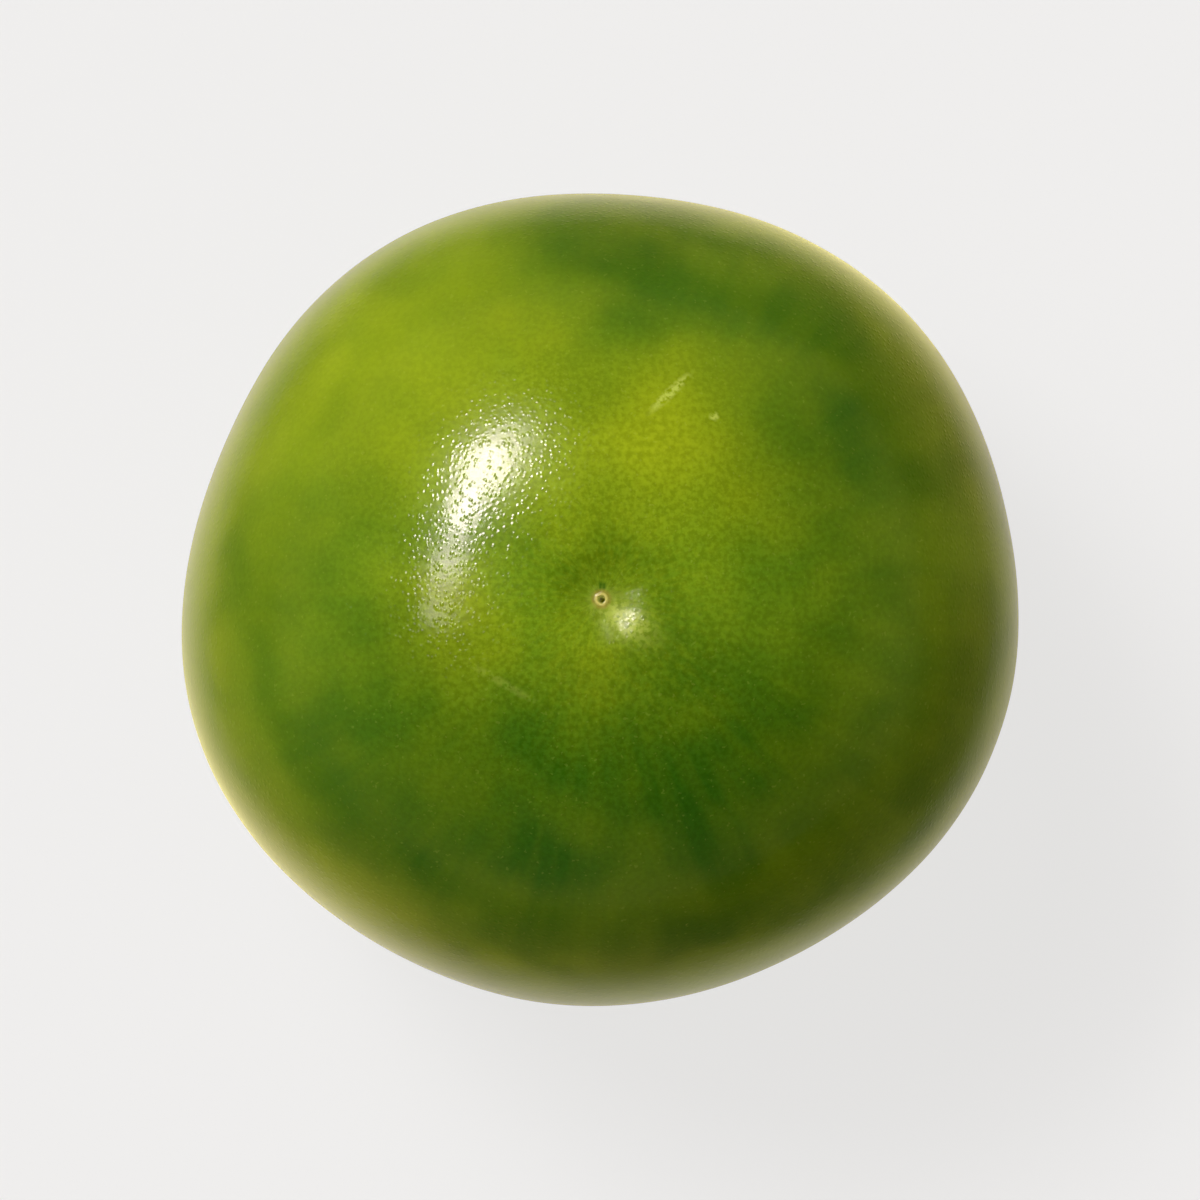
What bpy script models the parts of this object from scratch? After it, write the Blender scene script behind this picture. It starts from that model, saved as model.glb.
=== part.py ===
# A husked tomatillo: one firm green berry that stands on the shoulders round its stem end.
# Metres, +Z up. The origin is under the middle of the fruit, on the surface that it stands on.

import math

import bmesh
import bpy
from mathutils import Matrix, Vector

# The whole fruit
EQUATOR_RADIUS = 0.0270  # mean, measured round the widest part
HEIGHT = 0.0485  # from the shoulders of the stem end to the crown
EQUATOR_HEIGHT = 0.0238  # the widest part is a little below the middle
CROWN_FULLNESS = 2.24  # 2 is a plain ellipse, more is squarer
BASE_FULLNESS = 2.3
LEAN_HEIGHT = 0.0007  # how far the widest line rises towards one side and falls on the other
LEAN_ANGLE = math.radians(115.0)

# Bulges round the widest part: how many, how far they stand out, and where the first one points
BULGES = (
    (2, 0.00041, math.radians(12.5)),
    (3, 0.00019, math.radians(-25.8)),
    (4, 0.00013, math.radians(33.9)),
    (5, 0.00025, math.radians(-21.4)),
)

# The blossom end, at the top
DIMPLE_RADIUS = 0.0038
DIMPLE_DEPTH = 0.0007
STYLE_SCAR_RADIUS = 0.0008
STYLE_SCAR_HEIGHT = 0.00012

# The stem end, at the bottom
REST_RADIUS = 0.0114  # where the rounded side would meet the surface
REST_ROUNDING = 0.0003
REST_OUTER = 0.0104  # the flat resting ring
REST_INNER = 0.0092
CAVITY_RADIUS = 0.0086
CAVITY_DEPTH = 0.0022
CAVITY_LOBES = 5
CAVITY_LOBE_DEPTH = 0.0004
CAVITY_LOBE_ANGLE = math.radians(-21.4)
SHOULDER_RADIUS = 0.0150  # the furrows between the shoulders are deepest here
SHOULDER_WIDTH = 0.0045
SHOULDER_FURROW = 0.00022
CORK_RADIUS = 0.0036
CORK_EDGE = 0.0007
CORK_HEIGHT = 0.00035
STALK_PIT_RADIUS = 0.0014
STALK_PIT_DEPTH = 0.0006

# The mesh
SEGMENTS = 72
FINE_STEP = math.radians(1.4)  # between rings at the blossom end
COARSE_STEP = math.radians(4.6)  # between rings at the widest part
STEM_RINGS = 14  # from the resting ring to the middle of the stem scar
MERGE_DISTANCE = 1e-7

# The skin
SKIN_COLOUR = (0.122, 0.205, 0.0085, 1.0)
SKIN_ROUGHNESS = 0.3


def clear_scene():
    for item in list(bpy.data.objects):
        bpy.data.objects.remove(item, do_unlink=True)


def fade(distance, reach):
    """1 at no distance, falling smoothly to 0 at the reach."""
    share = min(abs(distance) / reach, 1.0)
    return (1.0 - share * share) ** 2


def base_drop(radius):
    """How far the round base drops below the widest part at a radius, as a share of its depth."""
    share = (radius / EQUATOR_RADIUS) ** BASE_FULLNESS
    return (1.0 - share) ** (1.0 / BASE_FULLNESS)


def base_depth():
    """How far the round base would reach below the widest part if it weren't flattened."""
    return EQUATOR_HEIGHT / base_drop(REST_RADIUS)


def side_angles():
    """Angles from the crown to the resting ring, closer together at both ends."""
    last = math.atan2(REST_OUTER, -base_depth() * base_drop(REST_OUTER))
    angles = []
    angle = FINE_STEP
    while angle < last - FINE_STEP:
        angles.append(angle)
        angle += FINE_STEP + (COARSE_STEP - FINE_STEP) * math.sin(angle)
    return angles


def stem_radii():
    """Radii from the resting ring inwards, with none on the axis."""
    steps = [REST_INNER * count / STEM_RINGS for count in range(STEM_RINGS, 0, -1)]
    return [REST_OUTER] + steps


def side_point(angle):
    """Distance from the axis and height of the plain round body at an angle from the crown."""
    across, along = math.sin(angle), math.cos(angle)
    if along >= 0.0:
        reach, fullness = HEIGHT - EQUATOR_HEIGHT, CROWN_FULLNESS
    else:
        reach, fullness = base_depth(), BASE_FULLNESS
    size = (across / EQUATOR_RADIUS) ** fullness + (abs(along) / reach) ** fullness
    length = size ** (-1.0 / fullness)
    return length * across, EQUATOR_HEIGHT + length * along


def flattened(height):
    """The base pressed flat at the resting plane, with a small rounding where it leaves it."""
    overlap = max(REST_ROUNDING - abs(height), 0.0) / REST_ROUNDING
    return max(height, 0.0) + overlap * overlap * REST_ROUNDING / 4.0


def make_body():
    """Spins the meridian into a closed body with one point at each end."""
    body = bmesh.new()
    points = [Vector((0.0, 0.0, HEIGHT))]
    for angle in side_angles():
        radius, height = side_point(angle)
        points.append(Vector((radius, 0.0, height)))
    for radius in stem_radii() + [0.0]:
        height = EQUATOR_HEIGHT - base_depth() * base_drop(radius)
        points.append(Vector((radius, 0.0, height)))
    corners = [body.verts.new(point) for point in points]
    edges = [body.edges.new(pair) for pair in zip(corners, corners[1:])]
    bmesh.ops.spin(
        body,
        geom=corners + edges,
        cent=(0.0, 0.0, 0.0),
        axis=(0.0, 0.0, 1.0),
        angle=math.tau,
        steps=SEGMENTS,
        space=Matrix.Identity(4),
    )
    bmesh.ops.remove_doubles(body, verts=body.verts, dist=MERGE_DISTANCE)
    bmesh.ops.recalc_face_normals(body, faces=body.faces)
    return body


def bulge(direction):
    """How far the fruit stands out from round in a direction, at its widest part."""
    return sum(size * math.cos(count * (direction - peak)) for count, size, peak in BULGES)


def crown_relief(radius):
    """Height that the dimple takes from the blossom end, and the style scar gives back."""
    dimple = DIMPLE_DEPTH * fade(radius, DIMPLE_RADIUS)
    scar = STYLE_SCAR_HEIGHT * fade(radius, STYLE_SCAR_RADIUS)
    return scar - dimple


def stem_relief(radius, direction):
    """Height of the stem cavity above the resting plane, with its cork and stalk pit."""
    lobes = math.cos(CAVITY_LOBES * (direction - CAVITY_LOBE_ANGLE))
    cavity = CAVITY_DEPTH * fade(radius, CAVITY_RADIUS + CAVITY_LOBE_DEPTH * lobes)
    cork = CORK_HEIGHT * fade(max(radius - CORK_RADIUS + CORK_EDGE, 0.0), CORK_EDGE)
    pit = STALK_PIT_DEPTH * fade(radius, STALK_PIT_RADIUS)
    return cavity - cork + pit


def shoulder_furrow(radius, direction):
    """Height of the five shallow furrows that run from the cavity up the lower side."""
    between = 0.5 - 0.5 * math.cos(CAVITY_LOBES * (direction - CAVITY_LOBE_ANGLE))
    return SHOULDER_FURROW * between * fade(radius - SHOULDER_RADIUS, SHOULDER_WIDTH)


def lean(radius, direction):
    """How far the widest line is raised or lowered, fading out above the resting ring and the crown."""
    share = max(radius - REST_RADIUS, 0.0) / (EQUATOR_RADIUS - REST_RADIUS)
    return LEAN_HEIGHT * share * share * math.cos(direction - LEAN_ANGLE)


def shape_skin(body):
    """Gives the round body its bulges, its lean, its two ends and its flat resting ring."""
    for corner in body.verts:
        radius = math.hypot(corner.co.x, corner.co.y)
        direction = math.atan2(corner.co.y, corner.co.x)
        height = corner.co.z
        if height < EQUATOR_HEIGHT:
            height = flattened(height) + shoulder_furrow(radius, direction)
            height += stem_relief(radius, direction)
        else:
            height += crown_relief(radius)
        height += lean(radius, direction)
        swell = 1.0 + bulge(direction) * radius / EQUATOR_RADIUS ** 2
        corner.co = (corner.co.x * swell, corner.co.y * swell, height)


def centre(body):
    """Moves the body so that its widest extents are centred over the origin."""
    for axis in (0, 1):
        places = [corner.co[axis] for corner in body.verts]
        middle = (min(places) + max(places)) / 2.0
        for corner in body.verts:
            corner.co[axis] -= middle


def skin_material():
    skin = bpy.data.materials.new("skin")
    skin.use_nodes = True
    shader = skin.node_tree.nodes["Principled BSDF"]
    shader.inputs["Base Color"].default_value = SKIN_COLOUR
    shader.inputs["Roughness"].default_value = SKIN_ROUGHNESS
    shader.inputs["Metallic"].default_value = 0.0
    return skin


def make_tomatillo():
    body = make_body()
    shape_skin(body)
    centre(body)
    mesh = bpy.data.meshes.new("tomatillo")
    body.to_mesh(mesh)
    body.free()
    mesh.shade_smooth()
    mesh.materials.append(skin_material())
    tomatillo = bpy.data.objects.new("tomatillo", mesh)
    bpy.context.scene.collection.objects.link(tomatillo)
    return tomatillo


clear_scene()
make_tomatillo()
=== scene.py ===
import math
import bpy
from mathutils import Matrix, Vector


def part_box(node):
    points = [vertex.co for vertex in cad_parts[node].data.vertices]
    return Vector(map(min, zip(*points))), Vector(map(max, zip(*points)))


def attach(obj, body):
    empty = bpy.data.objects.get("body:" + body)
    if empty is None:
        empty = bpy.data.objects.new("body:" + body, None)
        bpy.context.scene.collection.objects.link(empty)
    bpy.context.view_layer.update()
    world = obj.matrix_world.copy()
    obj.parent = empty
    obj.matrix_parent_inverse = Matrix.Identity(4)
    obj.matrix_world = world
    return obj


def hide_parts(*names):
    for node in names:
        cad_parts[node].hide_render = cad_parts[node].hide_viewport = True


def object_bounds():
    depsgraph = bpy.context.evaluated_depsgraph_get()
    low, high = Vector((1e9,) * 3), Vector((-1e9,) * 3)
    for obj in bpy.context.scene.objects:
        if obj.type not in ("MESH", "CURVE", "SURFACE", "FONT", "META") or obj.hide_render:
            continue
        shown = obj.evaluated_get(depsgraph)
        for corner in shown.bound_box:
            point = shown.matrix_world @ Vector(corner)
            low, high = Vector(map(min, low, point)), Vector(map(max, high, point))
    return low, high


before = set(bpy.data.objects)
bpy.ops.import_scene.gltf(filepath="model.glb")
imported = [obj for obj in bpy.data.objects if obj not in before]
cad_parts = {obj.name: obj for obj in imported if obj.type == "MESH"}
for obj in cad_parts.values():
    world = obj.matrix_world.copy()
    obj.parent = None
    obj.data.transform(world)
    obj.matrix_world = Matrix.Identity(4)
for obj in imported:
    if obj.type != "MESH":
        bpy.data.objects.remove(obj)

from types import SimpleNamespace

import bmesh
import bpy
from mathutils import Vector, noise

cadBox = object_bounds()
print("frame loaded")


# Selecting, as by hand

def activate(thing):
    bpy.ops.object.select_all(action="DESELECT")
    thing.select_set(True)
    bpy.context.view_layer.objects.active = thing


def applyModifiers(thing):
    activate(thing)
    for modifier in list(thing.modifiers):
        bpy.ops.object.modifier_apply(modifier=modifier.name)


def pick(thing, mode, wanted):
    # In edit mode, selects just the points or edges that the test says yes to
    bpy.ops.mesh.select_mode(type=mode)
    bpy.ops.mesh.select_all(action="DESELECT")
    work = bmesh.from_edit_mesh(thing.data)
    for item in (work.verts if mode == "VERT" else work.edges):
        item.select_set(wanted(item))
    bmesh.update_edit_mesh(thing.data)


# The form of the berry

berryForm = {
    "segments": 288,                       # faces round the axis
    "profilePoints": 240,                  # on the circle that the half profile is cut from
    "crownZones": ((9.0, 2), (1.6, 4)),    # degrees from the blossom end, and the cuts added there
    "stemZones": ((24.0, 1), (10.0, 3)),   # the same from the stem end
    "mergeDistance": 0.000001,
    "quadAngle": math.radians(40),         # the most that two triangles of the solid may differ by in a quad
    "guideLevels": 3,
}


def smoothGuide(node):
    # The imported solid's own form with its facets smoothed out, for the fine skin to lie on
    guide = node.copy()
    guide.data = node.data.copy()
    guide.name = "guide"
    bpy.context.scene.collection.objects.link(guide)
    guide.parent = None
    activate(guide)
    bpy.ops.object.mode_set(mode="EDIT")
    bpy.ops.mesh.select_all(action="SELECT")
    bpy.ops.mesh.remove_doubles(threshold=berryForm["mergeDistance"])
    bpy.ops.mesh.tris_convert_to_quads(
        face_threshold=berryForm["quadAngle"], shape_threshold=berryForm["quadAngle"])
    bpy.ops.object.mode_set(mode="OBJECT")
    poles = findPoles(guide.data)
    finer = guide.modifiers.new("finer", "SUBSURF")
    finer.levels = finer.render_levels = berryForm["guideLevels"]
    applyModifiers(guide)
    return guide, poles


def findPoles(mesh):
    # The blossom end and the stem end are the two points where the most edges meet
    meeting = [0] * len(mesh.vertices)
    for edge in mesh.edges:
        for index in edge.vertices:
            meeting[index] += 1
    ends = sorted(range(len(meeting)), key=lambda index: meeting[index])[-2:]
    return sorted((mesh.vertices[index].co.copy() for index in ends), key=lambda place: -place.z)


def turnedSkin(guide, crown):
    # Half a circle is refined towards both ends, spun round the axis and wrapped on the guide
    low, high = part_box("tomatillo")
    middle = Vector((crown.x, crown.y, (low.z + high.z) / 2))
    size = (high - low) / 2
    bpy.ops.object.select_all(action="DESELECT")
    bpy.ops.mesh.primitive_circle_add(
        vertices=berryForm["profilePoints"], radius=1.0, location=middle, rotation=(math.pi / 2, 0, 0))
    skin = bpy.context.object
    skin.name = "tomatilloSkin"
    skin.scale = (size.x, size.z, size.y)
    bpy.ops.object.transform_apply(location=True, rotation=True, scale=True)

    def fromCrown(place):
        away = place - middle
        return math.degrees(math.atan2(math.hypot(away.x, away.y), away.z))

    def within(start, end):
        return lambda edge: all(start < fromCrown(vert.co) < end for vert in edge.verts)

    bpy.ops.object.mode_set(mode="EDIT")
    pick(skin, "VERT", lambda vert: vert.co.x < middle.x - berryForm["mergeDistance"])
    bpy.ops.mesh.delete(type="VERT")
    for reach, cuts in berryForm["crownZones"]:
        pick(skin, "EDGE", within(-1.0, reach))
        bpy.ops.mesh.subdivide(number_cuts=cuts)
    for reach, cuts in berryForm["stemZones"]:
        pick(skin, "EDGE", within(180.0 - reach, 181.0))
        bpy.ops.mesh.subdivide(number_cuts=cuts)
    bpy.ops.mesh.select_all(action="SELECT")
    bpy.ops.mesh.spin(
        steps=berryForm["segments"], angle=math.tau, center=middle, axis=(0, 0, 1), use_auto_merge=True)
    bpy.ops.mesh.select_all(action="SELECT")
    bpy.ops.mesh.remove_doubles(threshold=berryForm["mergeDistance"])
    bpy.ops.mesh.normals_make_consistent(inside=False)
    bpy.ops.object.mode_set(mode="OBJECT")
    wrap = skin.modifiers.new("wrap", "SHRINKWRAP")
    wrap.target = guide
    wrap.wrap_method = "PROJECT"
    wrap.use_negative_direction = True
    wrap.use_positive_direction = True
    applyModifiers(skin)
    bpy.ops.object.shade_smooth()
    return skin


# Relief, painted as vertex groups and pushed along the normals. Lengths are in millimetres. The pairs that
# place the shaded stub and the painted glint are places along X and Y, crack is a range of noise, and any
# other pair is where something starts to change and where it has changed in full, outwards from the axis.

blossomEnd = {
    "ringRadius": 0.33, "ringWobble": 0.16, "ringWidth": 0.11, "ringHeight": 0.06,
    "ringEdge": 0.5, "ringEdgeWidth": 0.08, "ringEdgeMean": 0.3, "ringEdgeGaps": 1.1,
    "shadedStub": (0.06, 0.82), "stubRadius": 0.17, "stubWidth": 0.09,
    "pitRadius": 0.15, "pitDepth": 0.09,
    "puckersFrom": (0.5, 2.0), "puckersTo": (2.5, 9.0), "puckerContrast": 1.3, "puckerDepth": 0.05,
    "hollowReach": 3.6, "hollowDepth": 0.06,
    "paintedGlint": (1.45, -1.25), "paleSpotLean": math.radians(-32), "paleSpotLong": 1.7, "paleSpotWide": 0.95,
}
stemEnd = {
    "corkRadius": 3.3, "corkWobble": 0.28, "corkUneven": 1.2, "corkFade": (-0.25, 0.1),
    "points": 5, "pointsTurn": math.radians(-21.4),
    "grainDepth": 0.1, "grainSpeck": 0.25, "grainFade": 0.35, "grainFrom": (0.9, 1.3),
    "speckFractal": (0.8, 2.1, 3),   # how fast the finer noise fades, how much finer each layer is, layers
    "crack": (0.02, 0.16), "crackShare": 0.75,
    "lineWidth": 0.22, "lineDepth": 0.14,
    "rimRadius": 1.25, "rimWobble": 0.14, "rimWidth": 0.3, "rimHeight": 0.16,
    "pitWall": (0.35, 0.95), "pitFloor": 0.55, "pitStrands": 0.45, "strandContrast": 0.8, "pitDepth": 0.35,
    "foldsFrom": (3.3, 4.6), "foldsTo": (5.5, 9.0), "foldContrast": 1.6, "foldDepth": 0.16,
    "restFrom": (7.0, 8.8), "restTo": (10.8, 14.5),
}
swells = {"broadSize": 10.0, "broadDepth": 0.10, "fineSize": 3.6, "fineDepth": 0.016, "contrast": 0.62}
leastWeight = 0.001   # a point with less isn't in the vertex group


def window(value, low, high):
    # 0 below low, 1 above high, eased between them
    share = min(max((value - low) / (high - low), 0.0), 1.0)
    return share * share * (3.0 - 2.0 * share)


def ridge(value, centre, width):
    return math.exp(-((value - centre) / width) ** 2)


def between(value, rising, falling):
    return window(value, *rising) * (1.0 - window(value, *falling))


def unit(value):
    return min(max(0.5 + value, 0.0), 1.0)


def around(direction, changes, lane):
    # Noise with no seam where the direction comes full circle. Each use has a lane of its own.
    return noise.noise(aroundPoint(direction, changes, lane))


def aroundPoint(direction, changes, lane):
    return Vector((math.cos(direction) * changes, math.sin(direction) * changes, lane))


def corkEdge(direction):
    wobble = math.cos(stemEnd["points"] * (direction - stemEnd["pointsTurn"]))
    wobble += stemEnd["corkUneven"] * around(direction, changes=2.2, lane=7.0)
    return stemEnd["corkRadius"] + stemEnd["corkWobble"] * wobble


def styleRing(radius, direction):
    size = 1.0 + blossomEnd["ringWobble"] * around(direction, changes=1.3, lane=3.0)
    return ridge(radius, blossomEnd["ringRadius"] * size, blossomEnd["ringWidth"])


def ringEdge(radius, direction):
    # The dry brown line round the style scar, broken here and there
    gaps = blossomEnd["ringEdgeGaps"] * around(direction, changes=1.9, lane=15.0)
    share = unit(blossomEnd["ringEdgeMean"] + gaps)
    return share * ridge(radius, blossomEnd["ringEdge"], blossomEnd["ringEdgeWidth"])


def shadedStub(radius, direction):
    # Painted shade: a dark ring round a tiny stub beside the scar, which has no relief of its own
    away = math.dist((radius * math.cos(direction), radius * math.sin(direction)), blossomEnd["shadedStub"])
    return ridge(away, blossomEnd["stubRadius"], blossomEnd["stubWidth"])


def paintedGlint(radius, direction):
    # Painted glint: pale yellow paint in a leaning oval, on the wall of the hollow that catches the light
    x, y = blossomEnd["paintedGlint"]
    x, y = radius * math.cos(direction) - x, radius * math.sin(direction) - y
    lean = blossomEnd["paleSpotLean"]
    along = (x * math.cos(lean) + y * math.sin(lean)) / blossomEnd["paleSpotLong"]
    across = (y * math.cos(lean) - x * math.sin(lean)) / blossomEnd["paleSpotWide"]
    return ridge(math.hypot(along, across), 0.0, 1.0)


def stylePit(radius, direction):
    return ridge(radius, 0.0, blossomEnd["pitRadius"])


def hollow(radius, direction):
    share = min(radius / blossomEnd["hollowReach"], 1.0)
    return (1.0 - share * share) ** 2


def puckers(radius, direction):
    crease = unit(blossomEnd["puckerContrast"] * around(direction, changes=2.6, lane=radius * 0.11))
    return crease * between(radius, blossomEnd["puckersFrom"], blossomEnd["puckersTo"])


def stemFolds(radius, direction):
    fold = unit(stemEnd["foldContrast"] * around(direction, changes=4.2, lane=radius * 0.12 + 20.0))
    return fold * between(radius, stemEnd["foldsFrom"], stemEnd["foldsTo"])


def corkArea(radius, direction):
    inner, outer = stemEnd["corkFade"]
    edge = corkEdge(direction)
    return 1.0 - window(radius, edge + inner, edge + outer)


def calyxLine(radius, direction):
    return ridge(radius, corkEdge(direction), stemEnd["lineWidth"])


def corkGrain(radius, direction):
    edge = corkEdge(direction)
    crack = abs(around(direction, changes=5.0, lane=radius * 0.5))
    speckPlace = aroundPoint(direction, changes=radius * 2.4, lane=11.0)
    speck = noise.fractal(speckPlace, *stemEnd["speckFractal"])
    cracked = stemEnd["crackShare"] * (1.0 - window(crack, *stemEnd["crack"]))
    grain = unit(stemEnd["grainSpeck"] * speck) * (1.0 - cracked)
    inside = 1.0 - window(radius, edge - stemEnd["grainFade"], edge)
    return (1.0 - grain) * inside * window(radius, *stemEnd["grainFrom"])


def stalkRim(radius, direction):
    size = 1.0 + stemEnd["rimWobble"] * around(direction, changes=1.8, lane=5.0)
    return ridge(radius, stemEnd["rimRadius"] * size, stemEnd["rimWidth"])


def stalkPit(radius, direction):
    strands = unit(stemEnd["strandContrast"] * around(direction, changes=radius * 3.0, lane=31.0))
    wall = 1.0 - window(radius, *stemEnd["pitWall"])
    return wall * (stemEnd["pitFloor"] + stemEnd["pitStrands"] * strands)


def atCrown(painted):
    return lambda radius, direction, height: painted(radius, direction) if height > 0 else 0.0


def atStem(painted):
    return lambda radius, direction, height: painted(radius, direction) if height < 0 else 0.0


def offTheRest(radius, height):
    # 0 on the flat resting ring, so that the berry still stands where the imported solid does
    if height > 0:
        return 1.0
    return window(radius, *stemEnd["restTo"]) + 1.0 - window(radius, *stemEnd["restFrom"])


def swell(size, lane):
    def painted(radius, direction, height):
        place = Vector((radius * math.cos(direction), radius * math.sin(direction), height)) / size
        bump = swells["contrast"] * noise.noise(place + Vector((lane, 0, 0)))
        return unit(bump) * offTheRest(radius, height)
    return painted


def polar(place, axis, middle):
    # How far from the axis, which way round, and how high above the middle
    x, y = (place.x - axis.x) * 1000, (place.y - axis.y) * 1000
    return math.hypot(x, y), math.atan2(y, x), (place.z - middle) * 1000


def pushGroup(thing, name, painted, distance, axis, middle):
    group = thing.vertex_groups.new(name=name)
    for vert in thing.data.vertices:
        weight = painted(*polar(vert.co, axis, middle))
        if weight > leastWeight:
            group.add([vert.index], min(weight, 1.0), "REPLACE")
    push = thing.modifiers.new(name, "DISPLACE")
    push.vertex_group = name
    push.mid_level = 0.0
    push.strength = distance / 1000


def paintMask(thing, name, painted, axis, middle):
    # A mask that the material reads, kept on the points
    mask = thing.data.attributes.new(name, "FLOAT", "POINT")
    mask.data.foreach_set("value", [painted(*polar(vert.co, axis, middle)) for vert in thing.data.vertices])


def addRelief(skin, crown, middle):
    for name, painted, distance in (
        ("broadSwells", swell(swells["broadSize"], 3.0), -swells["broadDepth"]),
        ("fineSwells", swell(swells["fineSize"], 9.0), -swells["fineDepth"]),
        ("hollow", atCrown(hollow), -blossomEnd["hollowDepth"]),
        ("puckers", atCrown(puckers), -blossomEnd["puckerDepth"]),
        ("styleRing", atCrown(styleRing), blossomEnd["ringHeight"]),
        ("stylePit", atCrown(stylePit), -blossomEnd["pitDepth"]),
        ("stemFolds", atStem(stemFolds), -stemEnd["foldDepth"]),
        ("calyxLine", atStem(calyxLine), -stemEnd["lineDepth"]),
        ("corkGrain", atStem(corkGrain), -stemEnd["grainDepth"]),
        ("stalkRim", atStem(stalkRim), stemEnd["rimHeight"]),
        ("stalkPit", atStem(stalkPit), -stemEnd["pitDepth"]),
    ):
        pushGroup(skin, name, painted, distance, crown, middle)
    applyModifiers(skin)
    for name, painted in (
        ("corkMask", atStem(corkArea)),
        ("lineMask", atStem(calyxLine)),
        ("grainMask", atStem(corkGrain)),
        ("pitMask", atStem(stalkPit)),
        ("ringMask", atCrown(styleRing)),
        ("ringEdgeMask", atCrown(ringEdge)),
        # painted shade round the stub
        ("stubShadeMask", atCrown(shadedStub)),
        # painted glint on the hollow's wall
        ("paintedGlintMask", atCrown(paintedGlint)),
        ("stylePitMask", atCrown(stylePit)),
    ):
        paintMask(skin, name, painted, crown, middle)
    for group in list(skin.vertex_groups):
        skin.vertex_groups.remove(group)


# Node trees

def put(tree, kind, inputs=None, **settings):
    # Adds a node. An input is given a value, or is linked if it is given another node's socket.
    node = tree.nodes.new("ShaderNode" + kind)
    for name, value in settings.items():
        setattr(node, name, value)
    for name, value in (inputs or {}).items():
        if isinstance(value, bpy.types.NodeSocket):
            tree.links.new(value, node.inputs[name])
        else:
            node.inputs[name].default_value = value
    return node


def sums(tree, operation, a, b=0.0):
    return put(tree, "Math", {0: a, 1: b}, operation=operation).outputs[0]


def times(tree, a, b):
    return sums(tree, "MULTIPLY", a, b)


def vectors(tree, operation, inputs):
    # Dot product, length and distance are in the socket Value, and the other results in Vector
    return put(tree, "VectorMath", inputs, operation=operation).outputs


def ease(tree, value, low, high, start=0.0, end=1.0):
    inputs = {"Value": value, "From Min": low, "From Max": high, "To Min": start, "To Max": end}
    return put(tree, "MapRange", inputs, interpolation_type="SMOOTHSTEP").outputs[0]


def blend(tree, share, under, over):
    # Mix has a set of sockets for each kind of value: inputs 6 and 7 and output 2 are its colours
    return put(tree, "Mix", {"Factor": share, 6: under, 7: over}, data_type="RGBA").outputs[2]


def attribute(tree, name):
    return put(tree, "Attribute", attribute_name=name).outputs["Fac"]


def colour(red, green, blue):
    # From the 0 to 255 of a colour picker to the linear value that a shader takes
    def linear(part):
        return ((part / 255 + 0.055) / 1.055) ** 2.4 if part > 10 else part / 3294.6
    return linear(red), linear(green), linear(blue), 1.0


def aboutAxis(tree, place):
    # The place's own parts, the way out from the axis, its length, and the angle from the crown in radians
    parts = put(tree, "SeparateXYZ", {0: place}).outputs
    outwards = put(tree, "CombineXYZ", {"X": parts["X"], "Y": parts["Y"], "Z": 0.0}).outputs[0]
    radius = vectors(tree, "LENGTH", {0: outwards})["Value"]
    return parts, outwards, radius, sums(tree, "ARCTAN2", radius, parts["Z"])


# Groups

def newGroup(name, inputs, outputs):
    tree = bpy.data.node_groups.new(name, "ShaderNodeTree")
    for label, kind, value in inputs:
        socket = tree.interface.new_socket(label, in_out="INPUT", socket_type="NodeSocket" + kind)
        if value is not None:
            socket.default_value = value
    for label, kind in outputs:
        tree.interface.new_socket(label, in_out="OUTPUT", socket_type="NodeSocket" + kind)
    return tree, tree.nodes.new("NodeGroupInput").outputs, tree.nodes.new("NodeGroupOutput").inputs


def noiseMask(tree, given, out, place, scale, detail):
    inputs = {"Vector": place, "Scale": scale, "Detail": detail, "Roughness": 0.55}
    cloud = put(tree, "TexNoise", inputs).outputs[0]
    tree.links.new(ease(tree, cloud, given["Low"], given["High"]), out["Mask"])


def streakGroup():
    # Streaks that run from the blossom end to the stem end, with no seam
    tree, given, out = newGroup(
        "meridianStreaks",
        (("Vector", "Vector", None), ("Around", "Float", 20.0), ("Along", "Float", 1.0),
         ("Seed", "Float", 0.0), ("Low", "Float", 0.45), ("High", "Float", 0.6),
         ("Berry radius", "Float", 25.0)),
        (("Mask", "Float"),))
    parts, outwards, radius, angle = aboutAxis(tree, given["Vector"])
    heading = vectors(tree, "NORMALIZE", {0: outwards})["Vector"]
    turned = vectors(tree, "SCALE", {0: heading, "Scale": given["Around"]})["Vector"]
    travel = times(tree, times(tree, angle, given["Berry radius"]), given["Along"])
    lane = sums(tree, "ADD", travel, given["Seed"])
    shift = put(tree, "CombineXYZ", {"X": 0.0, "Y": 0.0, "Z": lane}).outputs[0]
    noiseMask(tree, given, out, vectors(tree, "ADD", {0: turned, 1: shift})["Vector"], 1.0, 2.0)
    return tree


def fleckGroup():
    # Even flecks or patches, whose size is given by the scale
    tree, given, out = newGroup(
        "flecks",
        (("Vector", "Vector", None), ("Scale", "Float", 1.0), ("Detail", "Float", 2.0),
         ("Low", "Float", 0.45), ("High", "Float", 0.6)),
        (("Mask", "Float"),))
    noiseMask(tree, given, out, given["Vector"], given["Scale"], given["Detail"])
    return tree


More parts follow.
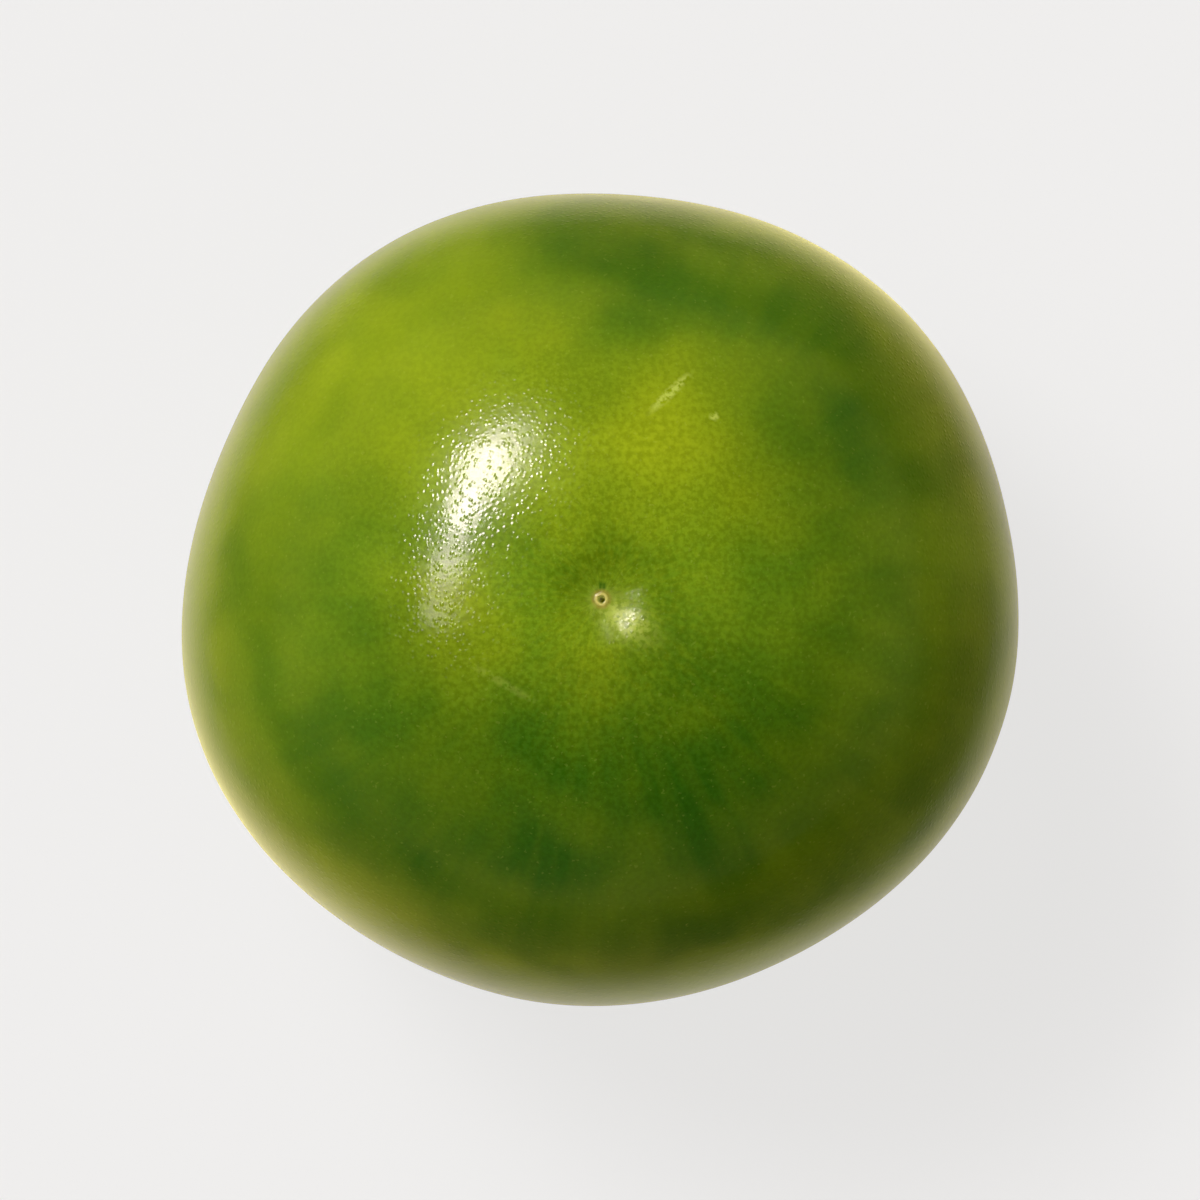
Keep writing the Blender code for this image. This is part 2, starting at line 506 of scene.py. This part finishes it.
def poreGroup():
    # The relief of waxy skin: scattered grains of uneven height on a faint orange peel
    tree, given, out = newGroup(
        "skinPores",
        (("Vector", "Vector", None), ("Grains per mm", "Float", 3.3), ("Grain reach", "Float", 0.6),
         ("Least grain", "Float", 0.4), ("Peel", "Float", 0.4), ("Peels per mm", "Float", 1.1)),
        (("Height", "Float"),))
    cells = put(tree, "TexVoronoi", {"Vector": given["Vector"], "Scale": given["Grains per mm"]}).outputs
    chance = put(tree, "SeparateXYZ", {0: cells["Color"]}).outputs["X"]
    size = ease(tree, chance, 0.2, 0.8, given["Least grain"], 1.0)
    grains = times(tree, ease(tree, cells["Distance"], 0.0, given["Grain reach"], 1.0, 0.0), size)
    inputs = {"Vector": given["Vector"], "Scale": given["Peels per mm"], "Detail": 1.0}
    peel = put(tree, "TexNoise", inputs).outputs[0]
    tree.links.new(sums(tree, "ADD", grains, times(tree, peel, given["Peel"])), out["Height"])
    return tree


# The skin's colours and wax

skinLook = {
    "tones": {
        "deepGreen": (36, 77, 18),
        "midGreen": (106, 135, 28),
        "yellowGreen": (142, 152, 26),
        "olive": (173, 171, 44),
        "paleFleck": (176, 184, 80),
        "halo": (186, 192, 100),
        "cork": (178, 146, 96),
        "corkCrack": (92, 64, 34),
        "calyxLine": (98, 74, 36),
        "stalkPit": (70, 46, 22),
        "styleRing": (188, 174, 94),
        "ringEdge": (112, 84, 14),
        "stylePit": (56, 36, 10),
        "sheenTint": (243, 224, 90),
    },
    # Soft patches: the way round from +X and the way down from the crown in degrees, the reach in mm,
    # the share, the tone
    "patches": (
        (128, 47, 21, 0.5, "yellowGreen"),
        (70, 24, 12, 0.75, "yellowGreen"),
        (187, 21, 7, 0.9, "yellowGreen"),
        (-78, 5.5, 5, 0.6, "yellowGreen"),
        # Painted shade on the hollow's upper wall, above the style scar, which faces away from the light
        (130, 8, 6, 0.25, "deepGreen"),
        (93, 4, 4, 0.35, "deepGreen"),
        (84, 58, 16, 0.95, "deepGreen"),
        (36, 52, 18, 0.9, "deepGreen"),
        # Painted shadow at the lower right edge
        (-28, 58, 14, 0.5, "deepGreen"),
        # Partly deeper green skin and partly painted shade, darker low down on the side away from the lights
        (-54, 42, 24, 1.0, "deepGreen"),
        (-104, 44, 22, 0.95, "deepGreen"),
        (-124, 42, 16, 0.85, "deepGreen"),
        (-80, 42, 20, 0.95, "deepGreen"),
        (220, 40, 17, 0.4, "deepGreen"),
        (182, 54, 18, 0.5, "deepGreen"),
        (118, 35, 8, 0.5, "yellowGreen"),
        # Painted shade that tones down the pale edge at the lower left
        (-142, 76, 9, 0.6, "deepGreen"),
        (150, 84, 18, 0.5, "yellowGreen"),
        (10, 114, 15, 0.5, "yellowGreen"),
        (296, 114, 12, 0.4, "yellowGreen"),
        (65, 102, 19, 0.6, "deepGreen"),
        (200, 102, 17, 0.55, "deepGreen"),
        (258, 98, 17, 0.6, "deepGreen"),
        (332, 98, 17, 0.6, "deepGreen"),
        (247, 79, 10, 0.4, "deepGreen"),
        (22, 80, 11, 0.35, "deepGreen"),
        (82, 80, 10, 0.35, "deepGreen"),
    ),
    # Small pale marks: the same two angles, half the length and half the width in mm, the lean in
    # degrees, the share
    "paleMarks": (
        (72, 31.2, 2.2, 0.4, 44, 0.75),
        (59, 30.5, 0.4, 0.36, 0, 0.75),
        (-139.5, 17.7, 3.5, 0.36, -30, 0.17),
    ),
    "paleMarkDepth": 3.0,
    "paleMarkFade": (0.3, 1.1),
    # What the streak and fleck groups are given, and how much of a tone their masks bring in
    "patterns": {
        "clouds": {"Scale": 0.17, "Detail": 1.0, "Low": 0.3, "High": 0.7},
        "specks": {"Scale": 2.9, "Detail": 2.0, "Low": 0.3, "High": 0.7},
        "dots": {"Scale": 3.4, "Detail": 1.0, "Low": 0.66, "High": 0.76},
        "broken": {"Scale": 3.0, "Detail": 2.0, "Low": 0.35, "High": 0.6},
        "longStreaks": {"Around": 13.0, "Along": 0.09, "Seed": 4.0, "Low": 0.35, "High": 0.7},
        "dashes": {"Around": 14.0, "Along": 1.5, "Seed": 1.0, "Low": 0.42, "High": 0.66},
        "rays": {"Around": 9.0, "Along": 0.35, "Seed": 8.0, "Low": 0.3, "High": 0.65},
    },
    "shares": {"clouds": 0.16, "longStreaks": 0.05, "dashes": 0.16, "dots": 0.09, "rays": 0.55},
    "drift": {"Scale": 0.1, "Detail": 2.0},   # noise that the greens, the olive band and the wax follow
    "stray": 10.0,            # mm that it moves the edges of the patches about
    # Changes from place to place: from where to where, and the value at each. By the drift:
    "greens": (0.36, 0.64, 0.6, 1.0),
    "oliveWaves": (0.3, 0.7, -0.1, 0.1),
    "roughness": (0.3, 0.7, 0.08, 0.16),
    # By the angle from the crown, in radians:
    "lowYellow": (1.9, 2.8, 0.0, 0.55),
    "dashesAtCrown": (0.1, 0.5, 1.0, 0.0),
    "dashesAtStem": (2.2, 2.8, 0.0, 1.0),
    "speckContrast": (0.3, 1.0, 0.34, 0.1),
    # The olive band is partly a painted pale rim
    "oliveIn": (1.03, 1.38, 0.0, 0.22),
    "oliveOut": (1.32, 1.75, 1.0, 0.15),
    # By how much a place faces the green side, whose turn is in degrees:
    "greenSide": 30,
    "oliveShift": (0.0, 0.5, 0.0, -0.15),
    # By the distance from the axis, in mm:
    "stemHalo": (3.0, 8.5, 0.9, 0.0),
    "styleHalo": (0.4, 1.1, 0.1, 0.0),
    "nearStyle": (0.8, 4.5, 1.0, 0.0),
    # By the height above the middle, in mm, where the upper half begins:
    "upperHalf": (-2.0, 2.0),
    # By the mask that breaks up the painted glint:
    "paintedGlint": (0.0, 1.0, 0.25, 0.8),
    "corkNoise": {"Scale": 2.6, "Detail": 4.0, "Roughness": 0.7},
    "corkMix": (0.35, 0.65),
    # Masks laid over the skin in this order, with their share and their tone
    "scars": (
        ("lineMask", 0.85, "calyxLine"),
        ("pitMask", 1.0, "stalkPit"),
        # painted shade: the dark ring round the stub
        ("stubShadeMask", 0.75, "deepGreen"),
        ("ringEdgeMask", 0.8, "ringEdge"),
        ("ringMask", 1.0, "styleRing"),
        ("stylePitMask", 1.0, "stylePit"),
    ),
    "dryRoughness": 0.5,      # what cork and the style's pit add
    "styleRoughness": 0.1,
    "styleSmoothing": 0.6,    # how much of the pores' depth goes near the style
    "poreDepth": 0.000014,
    "shader": {
        "Subsurface Weight": 0.15,
        "Subsurface Radius": (0.7, 1.0, 0.25),
        "Subsurface Scale": 0.0015,
        "IOR": 1.45,
        "Specular Tint": (1.0, 0.84, 0.86, 1.0),
        "Sheen Weight": 0.5,
        "Sheen Roughness": 0.4,
    },
}


def pointing(turn, tilt):
    # Turn is the way round from +X and tilt the way down from straight up, in degrees
    turn, tilt = math.radians(turn), math.radians(tilt)
    return Vector((math.sin(tilt) * math.cos(turn), math.sin(tilt) * math.sin(turn), math.cos(tilt)))


def skinPlaces(tree, crown, middle):
    # What the skin's colours and wax go by, in mm from the middle of the berry
    here = put(tree, "TexCoord").outputs["Object"]
    centre = Vector((crown.x, crown.y, middle)) * -1000
    inputs = {"Vector": here, "Location": centre, "Scale": (1000, 1000, 1000)}
    place = put(tree, "Mapping", inputs).outputs[0]
    parts, outwards, radius, angle = aboutAxis(tree, place)
    low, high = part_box("tomatillo")
    return SimpleNamespace(
        place=place, radius=radius, angle=angle,
        drift=put(tree, "TexNoise", {"Vector": place, **skinLook["drift"]}).outputs,
        above=ease(tree, parts["Z"], *skinLook["upperHalf"]),
        below=ease(tree, parts["Z"], *skinLook["upperHalf"], 1.0, 0.0),
        halfSize=(high - low) / 2 * 1000,
        streaks=streakGroup(), flecks=fleckGroup())


def spotAt(at, turn, tilt):
    return tuple(half * part for half, part in zip(at.halfSize, pointing(turn, tilt)))


def pattern(tree, at, name):
    given = skinLook["patterns"][name]
    group = at.streaks if "Around" in given else at.flecks
    return put(tree, "Group", {"Vector": at.place, **given}, node_tree=group).outputs["Mask"]


def addGreens(tree, at, tone):
    # Two greens that change slowly, and soft patches whose edges stray
    base = blend(tree, ease(tree, at.drift["Fac"], *skinLook["greens"]), tone["deepGreen"], tone["midGreen"])
    stray = vectors(tree, "SCALE", {0: at.drift["Color"], "Scale": skinLook["stray"]})["Vector"]
    strayed = vectors(tree, "ADD", {0: at.place, 1: stray})["Vector"]
    strayed = vectors(tree, "ADD", {0: strayed, 1: [-skinLook["stray"] / 2] * 3})["Vector"]
    for turn, tilt, reach, share, name in skinLook["patches"]:
        away = vectors(tree, "DISTANCE", {0: strayed, 1: spotAt(at, turn, tilt)})["Value"]
        base = blend(tree, ease(tree, away, 0.0, reach, share, 0.0), base, tone[name])
    return blend(tree, ease(tree, at.angle, *skinLook["lowYellow"]), base, tone["yellowGreen"])


def addPatterns(tree, at, base, tone):
    shares = skinLook["shares"]
    clouds = pattern(tree, at, "clouds")
    clear = sums(tree, "SUBTRACT", 1.0, clouds)
    base = blend(tree, times(tree, clear, shares["clouds"]), base, tone["deepGreen"])
    base = blend(tree, times(tree, clouds, shares["clouds"]), base, tone["yellowGreen"])
    streaks = times(tree, pattern(tree, at, "longStreaks"), shares["longStreaks"])
    base = blend(tree, streaks, base, tone["yellowGreen"])
    atCrown = ease(tree, at.angle, *skinLook["dashesAtCrown"])
    atStem = ease(tree, at.angle, *skinLook["dashesAtStem"])
    dashes = times(tree, pattern(tree, at, "dashes"), sums(tree, "MAXIMUM", atCrown, atStem))
    base = blend(tree, times(tree, dashes, shares["dashes"]), base, tone["yellowGreen"])
    # Fine mottling that lightens and darkens alike, strongest round the blossom end
    specks = sums(tree, "SUBTRACT", pattern(tree, at, "specks"), 0.5)
    specks = times(tree, specks, ease(tree, at.angle, *skinLook["speckContrast"]))
    base = put(tree, "HueSaturation", {"Value": sums(tree, "ADD", 1.0, specks), "Color": base}).outputs[0]
    dots = times(tree, pattern(tree, at, "dots"), shares["dots"])
    return blend(tree, dots, base, tone["paleFleck"])


def addPaleMarks(tree, at, base, tone, broken):
    for turn, tilt, long, wide, lean, most in skinLook["paleMarks"]:
        inputs = {
            "Vector": at.place, "Location": spotAt(at, turn, tilt), "Rotation": (0, 0, math.radians(lean)),
            "Scale": (long, wide, skinLook["paleMarkDepth"])}
        local = put(tree, "Mapping", inputs, vector_type="TEXTURE").outputs[0]
        away = vectors(tree, "LENGTH", {0: local})["Value"]
        share = times(tree, ease(tree, away, *skinLook["paleMarkFade"], most, 0.0), broken)
        base = blend(tree, share, base, tone["paleFleck"])
    return base


def addOliveAndPaleRim(tree, at, base, tone):
    # The sides are a little more olive than the crown, in a wide soft band that starts lower on one side. The
    # band is partly the skin's own tone and partly a painted pale rim round the edge.
    facing = vectors(tree, "DOT_PRODUCT", {0: at.place, 1: pointing(skinLook["greenSide"], 90)})["Value"]
    facing = sums(tree, "DIVIDE", facing, sums(tree, "ADD", at.radius, 0.01))   # never by 0
    wavy = sums(tree, "ADD", at.angle, ease(tree, at.drift["Fac"], *skinLook["oliveWaves"]))
    wavy = sums(tree, "ADD", wavy, ease(tree, facing, *skinLook["oliveShift"]))
    band = times(tree, ease(tree, wavy, *skinLook["oliveIn"]), ease(tree, wavy, *skinLook["oliveOut"]))
    return blend(tree, band, base, tone["olive"])


def addEnds(tree, at, base, tone, broken):
    # Pale rays round the stem end, paler skin round the style scar, and the painted glint beside it
    most = skinLook["shares"]["rays"]
    rays = sums(tree, "ADD", 1.0 - most, times(tree, pattern(tree, at, "rays"), most))
    stemHalo = times(tree, ease(tree, at.radius, *skinLook["stemHalo"]), at.below)
    base = blend(tree, times(tree, stemHalo, rays), base, tone["halo"])
    styleHalo = times(tree, ease(tree, at.radius, *skinLook["styleHalo"]), at.above)
    base = blend(tree, styleHalo, base, tone["halo"])
    spot = times(tree, attribute(tree, "paintedGlintMask"), ease(tree, broken, *skinLook["paintedGlint"]))
    return blend(tree, spot, base, tone["paleFleck"])


def addScars(tree, at, base, tone):
    grain = put(tree, "TexNoise", {"Vector": at.place, **skinLook["corkNoise"]}).outputs[0]
    cork = blend(tree, ease(tree, grain, *skinLook["corkMix"]), tone["corkCrack"], tone["cork"])
    cork = blend(tree, attribute(tree, "grainMask"), cork, tone["corkCrack"])
    base = blend(tree, attribute(tree, "corkMask"), base, cork)
    for name, share, over in skinLook["scars"]:
        base = blend(tree, times(tree, attribute(tree, name), share), base, tone[over])
    return base


def addWax(tree, at, shader):
    nearStyle = times(tree, ease(tree, at.radius, *skinLook["nearStyle"]), at.above)
    dry = sums(tree, "MAXIMUM", attribute(tree, "corkMask"), attribute(tree, "stylePitMask"))
    dullness = ease(tree, at.drift["Fac"], *skinLook["roughness"])
    dullness = sums(tree, "ADD", dullness, times(tree, dry, skinLook["dryRoughness"]))
    dullness = sums(tree, "ADD", dullness, times(tree, nearStyle, skinLook["styleRoughness"]))
    tree.links.new(dullness, shader.inputs["Roughness"])
    height = put(tree, "Group", {"Vector": at.place}, node_tree=poreGroup()).outputs["Height"]
    kept = sums(tree, "SUBTRACT", 1.0, times(tree, nearStyle, skinLook["styleSmoothing"]))
    inputs = {"Height": times(tree, height, kept), "Strength": 1.0, "Distance": skinLook["poreDepth"]}
    tree.links.new(put(tree, "Bump", inputs).outputs[0], shader.inputs["Normal"])


def skinMaterial(crown, middle):
    skin = bpy.data.materials.new("waxySkin")
    skin.use_nodes = True
    tree = skin.node_tree
    shader = tree.nodes["Principled BSDF"]
    tone = {name: colour(*value) for name, value in skinLook["tones"].items()}
    at = skinPlaces(tree, crown, middle)
    broken = pattern(tree, at, "broken")
    base = addGreens(tree, at, tone)
    base = addPatterns(tree, at, base, tone)
    base = addPaleMarks(tree, at, base, tone, broken)
    base = addOliveAndPaleRim(tree, at, base, tone)
    base = addEnds(tree, at, base, tone, broken)
    base = addScars(tree, at, base, tone)
    tree.links.new(base, shader.inputs["Base Color"])
    addWax(tree, at, shader)
    for name, value in skinLook["shader"].items():
        shader.inputs[name].default_value = value
    shader.inputs["Sheen Tint"].default_value = tone["sheenTint"]
    return skin


# The studio

studio = {
    "cameraDistance": 0.75,
    "clip": (0.01, 20.0),
    "fill": 0.70,             # how much of the picture's width the berry takes
    "floorRadius": 3.0,
    "floorCorners": 128,
    "floorTone": (78, 77, 77),
    "floorDarker": 0.97,      # the other end of the floor's slight unevenness
    "floorNoise": {"Scale": 9.0, "Detail": 1.0},
    "floorRoughness": 0.7,
    "glowTone": (233, 232, 231),   # keeps the shadow pale
    "glowStrength": 0.92,
    # painted contact shadow under the berry
    "contactShadowTone": (60, 62, 52),
    "contact": (0.009, 0.022),     # metres from the middle of the berry
    # The gloss sees the floor darken from the first distance to the second, in metres, by these two shares
    "pale": (0.026, 0.076, 0.3, 1.0),
    "paleShift": (0.006, 0.0, 0.0),
    "dimTone": (72, 72, 72),
    "skyTone": (240, 240, 240),
    "sky": (0.0, 0.9, 0.2, 0.12),  # from where to where on the way up, and the strength at each
    "blackLevel": 0.008,      # of the picture, as the photograph's deep shades have almost no blue
    "seenTone": (237, 237, 236),   # what the camera sees past the floor
    # Soft round lights in the sky, in degrees: the way round from +X, the tilt from straight up, and the
    # distances from the middle where the light starts to fall and where it ends, and then the strength
    "lights": {
        "high": (121, 39, 1, 7, 22),
        "middle": (133, 37, 4, 8.5, 37),
        "low": (148.5, 35, 1.5, 6, 44),
        "tail": (163.5, 33.2, 0.5, 6.5, 18),
        "tailEnd": (180, 33, 0.5, 6.5, 7),
        "haze": (134, 37, 6, 22, 0.5),
    },
    # Wide lamps that light the colours and don't show in the gloss: turn, tilt and width in degrees, strength
    "lamps": {
        "softKey": (128, 37, 30, 1.8),
        "softFill": (-85, 84, 60, 0.75),
        "softFillRight": (10, 86, 60, 0.3),
    },
}


def floorMaterial():
    pale = bpy.data.materials.new("paleFloor")
    pale.use_nodes = True
    tree = pale.node_tree
    shader = tree.nodes["Principled BSDF"]
    here = put(tree, "TexCoord").outputs["Object"]
    cloud = put(tree, "TexNoise", {"Vector": here, **studio["floorNoise"]}).outputs[0]
    tone = colour(*studio["floorTone"])
    darker = tuple(studio["floorDarker"] * part for part in tone[:3]) + (1.0,)
    tree.links.new(blend(tree, cloud, tone, darker), shader.inputs["Base Color"])
    shader.inputs["Roughness"].default_value = studio["floorRoughness"]
    # Painted contact shadow: the glow fades to a dark tone under the berry, where it stands
    beside = ease(tree, vectors(tree, "LENGTH", {0: here})["Value"], *studio["contact"])
    glow = blend(tree, beside, colour(*studio["contactShadowTone"]), colour(*studio["glowTone"]))
    tree.links.new(glow, shader.inputs["Emission Color"])
    shader.inputs["Emission Strength"].default_value = studio["glowStrength"]
    # Only the gloss sees the floor darken away from the berry, so that its rim is pale and its sides aren't
    shifted = vectors(tree, "ADD", {0: here, 1: studio["paleShift"]})["Vector"]
    far = ease(tree, vectors(tree, "LENGTH", {0: shifted})["Value"], *studio["pale"])
    inGloss = times(tree, put(tree, "LightPath").outputs["Is Glossy Ray"], far)
    dim = put(tree, "BsdfDiffuse", {"Color": colour(*studio["dimTone"])})
    seen = put(tree, "MixShader", {0: inGloss, 1: shader.outputs[0], 2: dim.outputs[0]})
    tree.links.new(seen.outputs[0], tree.nodes["Material Output"].inputs["Surface"])
    return pale


def makeFloor():
    bpy.ops.object.select_all(action="DESELECT")
    bpy.ops.mesh.primitive_circle_add(
        vertices=studio["floorCorners"], radius=studio["floorRadius"], fill_type="NGON")
    floor = bpy.context.object
    floor.name = "floor"
    floor.data.materials.append(floorMaterial())


def makeLamps(target):
    for name, (turn, tilt, width, strength) in studio["lamps"].items():
        data = bpy.data.lights.new(name, "SUN")
        data.angle, data.energy = math.radians(width), strength
        lamp = bpy.data.objects.new(name, data)
        bpy.context.scene.collection.objects.link(lamp)
        lamp.location = target + pointing(turn, tilt)
        lamp.rotation_euler = pointing(turn, tilt).to_track_quat("Z", "Y").to_euler()
        lamp.visible_glossy = False


def makeWorld():
    # Dim overhead and brighter low down, so that the skin's deep colours aren't washed out from above
    world = bpy.data.worlds.new("studioWorld")
    bpy.context.scene.world = world
    world.use_nodes = True
    tree = world.node_tree
    way = put(tree, "TexCoord").outputs["Generated"]
    strength = ease(tree, put(tree, "SeparateXYZ", {0: way}).outputs["Z"], *studio["sky"])
    for turn, tilt, core, edge, most in studio["lights"].values():
        facing = vectors(tree, "DOT_PRODUCT", {0: way, 1: pointing(turn, tilt)})["Value"]
        away = sums(tree, "ARCCOSINE", facing)
        light = ease(tree, away, math.radians(core), math.radians(edge), most, 0.0)
        strength = sums(tree, "ADD", strength, light)
    sky = tree.nodes["Background"]
    sky.inputs["Color"].default_value = colour(*studio["skyTone"])
    tree.links.new(strength, sky.inputs["Strength"])
    seen = put(tree, "Background", {"Color": colour(*studio["seenTone"])})
    chosen = put(tree, "MixShader", {
        0: put(tree, "LightPath").outputs["Is Camera Ray"], 1: sky.outputs[0], 2: seen.outputs[0]})
    tree.links.new(chosen.outputs[0], tree.nodes["World Output"].inputs["Surface"])


def makeCamera(target, width):
    data = bpy.data.cameras.new("camera")
    camera = bpy.data.objects.new("camera", data)
    bpy.context.scene.collection.objects.link(camera)
    camera.location = target + Vector((0, 0, studio["cameraDistance"]))
    data.lens = data.sensor_width * studio["cameraDistance"] / (width / studio["fill"])
    data.clip_start, data.clip_end = studio["clip"]
    bpy.context.scene.camera = camera


def gradePicture():
    grade = bpy.context.scene.view_settings
    grade.view_transform = "Standard"
    grade.use_curve_mapping = True
    grade.curve_mapping.black_level = [studio["blackLevel"]] * 3
    grade.curve_mapping.update()


guide, (crown, stem) = smoothGuide(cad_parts["tomatillo"])
middleHeight = (crown.z + stem.z) / 2
skin = turnedSkin(guide, crown)
bpy.data.objects.remove(guide)
print("skin turned and wrapped:", len(skin.data.polygons), "faces")
addRelief(skin, crown, middleHeight)
print("relief added")
skin.data.materials.append(skinMaterial(crown, middleHeight))
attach(skin, "root")
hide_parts("tomatillo")
print("skin finished")

makeFloor()
low, high = (Vector(corner) for corner in cadBox)
makeLamps((low + high) / 2)
makeWorld()
makeCamera((low + high) / 2, high.x - low.x)
gradePicture()
print("studio ready")
